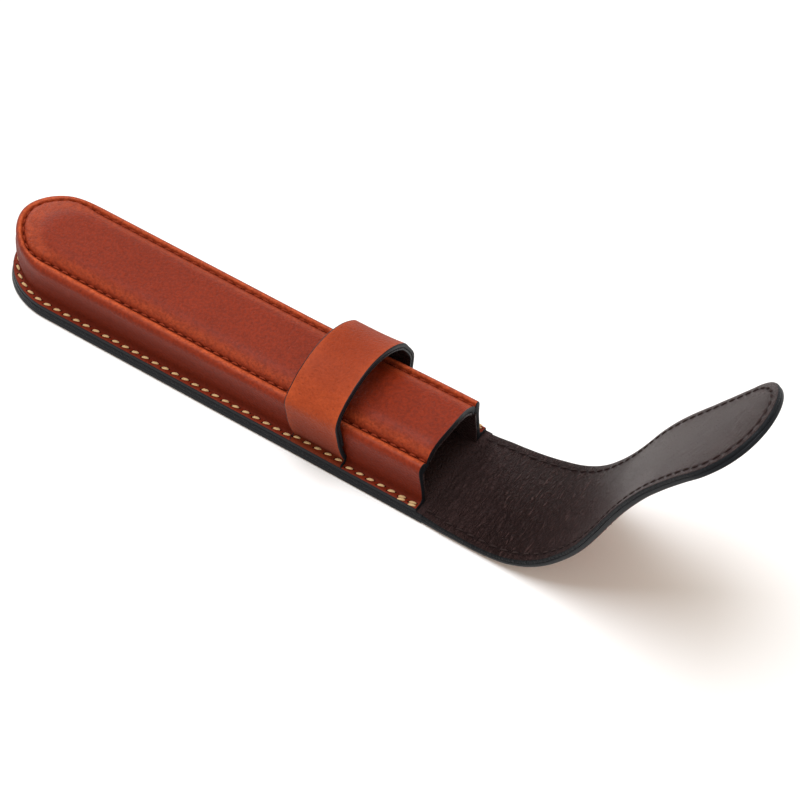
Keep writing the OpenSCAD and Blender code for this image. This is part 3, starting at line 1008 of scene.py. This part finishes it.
def seam_places(rim, inset, pitch, margin, behind, ahead):
    """Places at an even pitch along a rim at an inset, each as x, y and a direction.

    The direction goes from the point behind the place to the one ahead of it.
    """
    line = np.array([rim.point(station, inset) for station in rim.stations()])
    runs = np.concatenate([[0], np.cumsum(np.linalg.norm(np.diff(line, axis=0), axis=1))])

    def at(run):
        return np.array([np.interp(run, runs, line[:, axis]) for axis in (0, 1)])

    whole = runs[-1] - margin - margin
    count = int(round(whole / pitch))
    for number in range(count + 1):
        run = margin + whole * number / count
        yield (*at(run), (*(at(run + ahead) - at(run - behind)), 0.0))


def make_base_seam():
    """Slanted cream stitches that sew the gusset to the back, with painted shade in their awl
    holes.
    """
    pitch = measure("base_pitch")
    stitches, holes = [], []
    for x, y, direction in seam_places(pocket_rim(), BASE_INSET, pitch, BASE_MARGIN, 0.3, 0.3):
        on_strap = STRAP_BACK + STRAP_MARGIN < x < STRAP_FRONT - STRAP_MARGIN
        z = FOOT_TOP + THREAD_LIFT if on_strap else FLANGE_TOP
        slanted = turned(direction, BASE_SLANT)
        stitches.append(((x, y, z + THREAD_LIFT), slanted, UP))
        for sign in (-1, 1):
            tip = np.array((x, y, z)) + slanted / np.linalg.norm(slanted) * HOLE_REACH * sign
            holes.append((tip, turned(direction, HOLE_SLANT), UP))
    for point, slanted, normal in list(stitches):
        if point[0] > MOUTH_X - DOUBLE_LENGTH:
            beside = np.cross(normal, slanted / np.linalg.norm(slanted)) * DOUBLE_SPACE
            stitches.append((np.array(point) + beside, slanted, normal))
    on_case(copied("base_seam_thread", thread_form(*BASE_STITCH), stitches, "cream"),
            "base_seam_stitches")
    on_case(copied("base_seam_holes", hole_form(*AWL_HOLE), holes, "hole", sharp=40))


def make_panel_seam():
    """Dark red stitches in the groove between the ridge and the front panel."""
    places = seam_places(pocket_rim(), PANEL_INSET, measure("panel_pitch"), PANEL_MARGIN, 0.3, 0.3)
    stitches = [(pocket_place(x, y, GROOVE_Z + GROOVE_LIFT), turned(direction, PANEL_SLANT), UP)
                for x, y, direction in places]
    on_case(copied("panel_seam_thread", thread_form(*PANEL_STITCH), stitches, "red"),
            "panel_seam_stitches")


def make_border_seam():
    """Dark brown stitches round the flap, on the lining and on the outer leather."""
    spans = flap_spans()
    places = {number: [] for number in range(1, len(spans) + 1)}
    rim = Rim(BORDER_START, FLAP_LENGTH - TIP_REACH, TIP_REACH, side_step=0.6, end_steps=90)
    line = seam_places(rim, BORDER_INSET, measure("border_pitch"), BORDER_MARGIN, 0, 0.4)
    for run, y, (d_run, d_y, _) in line:
        number = 1 + sum(run > span[1] for span in spans[:-1])
        for side, height in BORDER_FACES:
            slant = math.radians(BORDER_SLANT * side)
            c, s = math.cos(slant), math.sin(slant)
            step_run, step_y = (c * d_run - s * d_y) * 0.5, (s * d_run + c * d_y) * 0.5
            point = np.array(flap_place(run, y, height))
            ahead = np.array(flap_place(run + step_run, y + step_y, height))
            normal = (np.array(flap_place(run, y, height + 1)) - point) * side
            places[number].append((point, ahead - point, normal))
    for number, span in enumerate(spans, 1):
        form = thread_form(*BORDER_STITCH)
        piece = copied(f"border_thread_{number}", form, places[number], "brown")
        nodes = [f"border_stitches_{number}"] + (["border_stitches_0"] if number == 1 else [])
        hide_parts(*nodes)
        bend_piece(piece, span)


# Stage

CAMERA_TURN, CAMERA_RISE = 34.45, 50.51
CAMERA_LENS, CAMERA_SENSOR = 149.04, 36
CAMERA_DISTANCE, CAMERA_RIGHT, CAMERA_UP = 0.933, -0.01445, 0.02183
FLOOR_HALF, FLOOR_Z = 3.0, -0.0002
FLOOR_MIDDLE = (0.06, 0.0, 0.0)


def make_camera():
    """The camera from which the photo was taken."""
    turn, rise = math.radians(CAMERA_TURN), math.radians(CAMERA_RISE)
    level = math.cos(rise)
    back = Vector((math.sin(turn) * level, -math.cos(turn) * level, math.sin(rise)))
    right = Vector((math.cos(turn), math.sin(turn), 0))
    up = back.cross(right)
    camera = bpy.data.objects.new("camera", bpy.data.cameras.new("camera"))
    camera.data.lens, camera.data.sensor_width = CAMERA_LENS, CAMERA_SENSOR
    camera.data.clip_start, camera.data.clip_end = 0.02, 20
    camera.location = Vector((MOUTH_X * MM, 0, 0)) + back * CAMERA_DISTANCE + right * CAMERA_RIGHT \
        + up * CAMERA_UP
    camera.rotation_euler = Matrix((right, up, back)).transposed().to_euler()
    bpy.context.scene.collection.objects.link(camera)
    bpy.context.scene.camera = camera


def area_light(name, location, target, size, power, colour=WHITE):
    data = bpy.data.lights.new(name, "AREA")
    data.shape, data.size, data.size_y = "RECTANGLE", size[0], size[1]
    data.energy, data.color = power, colour
    light = bpy.data.objects.new(name, data)
    light.location = location
    light.rotation_euler = (Vector(target) - Vector(location)).to_track_quat("-Z", "Y").to_euler()
    bpy.context.scene.collection.objects.link(light)


def make_world():
    """A soft warm light all round, which the camera and reflections see as white."""
    world = bpy.data.worlds.new("studio")
    bpy.context.scene.world = world
    world.use_nodes = True
    nodes = Nodes(world.node_tree)
    soft = nodes.node("ShaderNodeBackground", {}, {"Color": (1.0, 0.91, 0.8), "Strength": 0.64})
    white = nodes.node("ShaderNodeBackground", {}, {"Color": WHITE, "Strength": 1.0})
    mixed = nodes.node("ShaderNodeMixShader", {}, {0: nodes.seen(), 1: soft, 2: white})
    nodes.node("ShaderNodeOutputWorld", {}, {"Surface": mixed})


def make_floor(colour):
    """A pale floor that keeps the shadow and passes into the white background further out."""
    finish = Finish("pale_floor")
    speckle = finish.noise(finish.place(), 60, 2.0, 0.5)
    seen = finish.seen()
    shade = finish.blend(speckle * 0.1, colour, (0.93, 0.93, 0.93))
    glow = finish.blend(seen, BLACK, (0.07, 0.06, 0.045))
    near = finish.shader(base_color=shade, roughness=0.9, specular_ior_level=0.1,
                         emission_color=glow, emission_strength=1.0)
    white = finish.node("ShaderNodeEmission", {}, {"Color": WHITE, "Strength": 1.0})
    offset = finish.node(
        "ShaderNodeVectorMath", {"operation": "SUBTRACT"}, {0: finish.place(), 1: FLOOR_MIDDLE})
    distance = finish.node(
        "ShaderNodeVectorMath", {"operation": "LENGTH"}, {0: offset}, output="Value")
    far = finish.ramp(distance, 0.11, 0.26) * seen
    mixed = finish.node("ShaderNodeMixShader", {}, {0: far, 1: near, 2: white})
    finish.node("ShaderNodeOutputMaterial", {}, {"Surface": mixed})
    mesh = bpy.data.meshes.new("floor")
    corners = [(x * FLOOR_HALF, y * FLOOR_HALF, FLOOR_Z)
               for x, y in ((-1, -1), (1, -1), (1, 1), (-1, 1))]
    mesh.from_pydata(corners, [], [(0, 1, 2, 3)])
    mesh.materials.append(finish.material)
    floor = bpy.data.objects.new("floor", mesh)
    bpy.context.scene.collection.objects.link(floor)


# Operators and panel

class SLEEVE_OT_stage(bpy.types.Operator):
    """Set up the camera, the soft lights and the pale floor."""
    bl_idname = "sleeve.stage"
    bl_label = "Stage"

    def execute(self, context):
        context.scene.view_settings.view_transform = "Standard"
        make_world()
        make_floor(tuple(context.scene.sleeve_colours.floor))
        area_light("softbox", location=(-0.04, -0.05, 0.95), target=(0.06, 0, 0), size=(0.64, 0.64),
                   power=8.6, colour=(0.98, 1.02, 1.08))
        area_light("window", location=(-0.9, 0.5, 0.34), target=(-0.05, 0, 0.015), size=(0.7, 0.5),
                   power=3.0)
        make_camera()
        return {"FINISHED"}


class SLEEVE_OT_finishes(bpy.types.Operator):
    """Make the leather, lining, thread and painted-edge finishes."""
    bl_idname = "sleeve.finishes"
    bl_label = "Finishes"

    def execute(self, context):
        FINISHES.update(make_finishes(context.scene.sleeve_colours))
        return {"FINISHED"}


class SLEEVE_OT_sole(bpy.types.Operator):
    """Build the back of the pocket: outer leather and lining."""
    bl_idname = "sleeve.sole"
    bl_label = "Back"

    def execute(self, context):
        make_sole()
        return {"FINISHED"}


class SLEEVE_OT_gusset(bpy.types.Operator):
    """Build the gusset with its rolled ridge, and its lining."""
    bl_idname = "sleeve.gusset"
    bl_label = "Gusset"

    def execute(self, context):
        make_gusset()
        return {"FINISHED"}


class SLEEVE_OT_front(bpy.types.Operator):
    """Build the crowned front panel and its lining."""
    bl_idname = "sleeve.front"
    bl_label = "Front panel"

    def execute(self, context):
        make_front()
        return {"FINISHED"}


class SLEEVE_OT_strap(bpy.types.Operator):
    """Build the keeper strap and its lining."""
    bl_idname = "sleeve.strap"
    bl_label = "Keeper strap"

    def execute(self, context):
        make_strap()
        return {"FINISHED"}


class SLEEVE_OT_flap(bpy.types.Operator):
    """Build the bending flap: outer leather and lining."""
    bl_idname = "sleeve.flap"
    bl_label = "Flap"

    def execute(self, context):
        make_flap()
        return {"FINISHED"}


class SLEEVE_OT_seams(bpy.types.Operator):
    """Sew the base seam, the seam beside the ridge and the border of the flap."""
    bl_idname = "sleeve.seams"
    bl_label = "Seams"

    def execute(self, context):
        make_base_seam()
        make_panel_seam()
        make_border_seam()
        return {"FINISHED"}


STEPS = ("stage", "finishes", "sole", "gusset", "front", "strap", "flap", "seams")


class SLEEVE_PT_panel(bpy.types.Panel):
    """Settings and steps of the pen sleeve."""
    bl_idname = "SLEEVE_PT_panel"
    bl_label = "Pen Sleeve"
    bl_space_type = "VIEW_3D"
    bl_region_type = "UI"
    bl_category = "Pen Sleeve"

    def draw(self, context):
        for settings in (context.scene.sleeve_sizes, context.scene.sleeve_colours):
            column = self.layout.column()
            for name in settings.bl_rna.properties.keys():
                if name not in ("rna_type", "name"):
                    column.prop(settings, name)
        for step in STEPS:
            self.layout.operator(f"sleeve.{step}")


CLASSES = (
    SleeveSizes, SleeveColours, SLEEVE_OT_stage, SLEEVE_OT_finishes, SLEEVE_OT_sole,
    SLEEVE_OT_gusset, SLEEVE_OT_front, SLEEVE_OT_strap, SLEEVE_OT_flap, SLEEVE_OT_seams,
    SLEEVE_PT_panel,
)


def register():
    for cls in CLASSES:
        bpy.utils.register_class(cls)
    bpy.types.Scene.sleeve_sizes = bpy.props.PointerProperty(type=SleeveSizes)
    bpy.types.Scene.sleeve_colours = bpy.props.PointerProperty(type=SleeveColours)


def unregister():
    del bpy.types.Scene.sleeve_colours
    del bpy.types.Scene.sleeve_sizes
    for cls in reversed(CLASSES):
        bpy.utils.unregister_class(cls)


def main():
    register()
    for step in STEPS:
        getattr(bpy.ops.sleeve, step)()


if __name__ == "__main__":
    main()
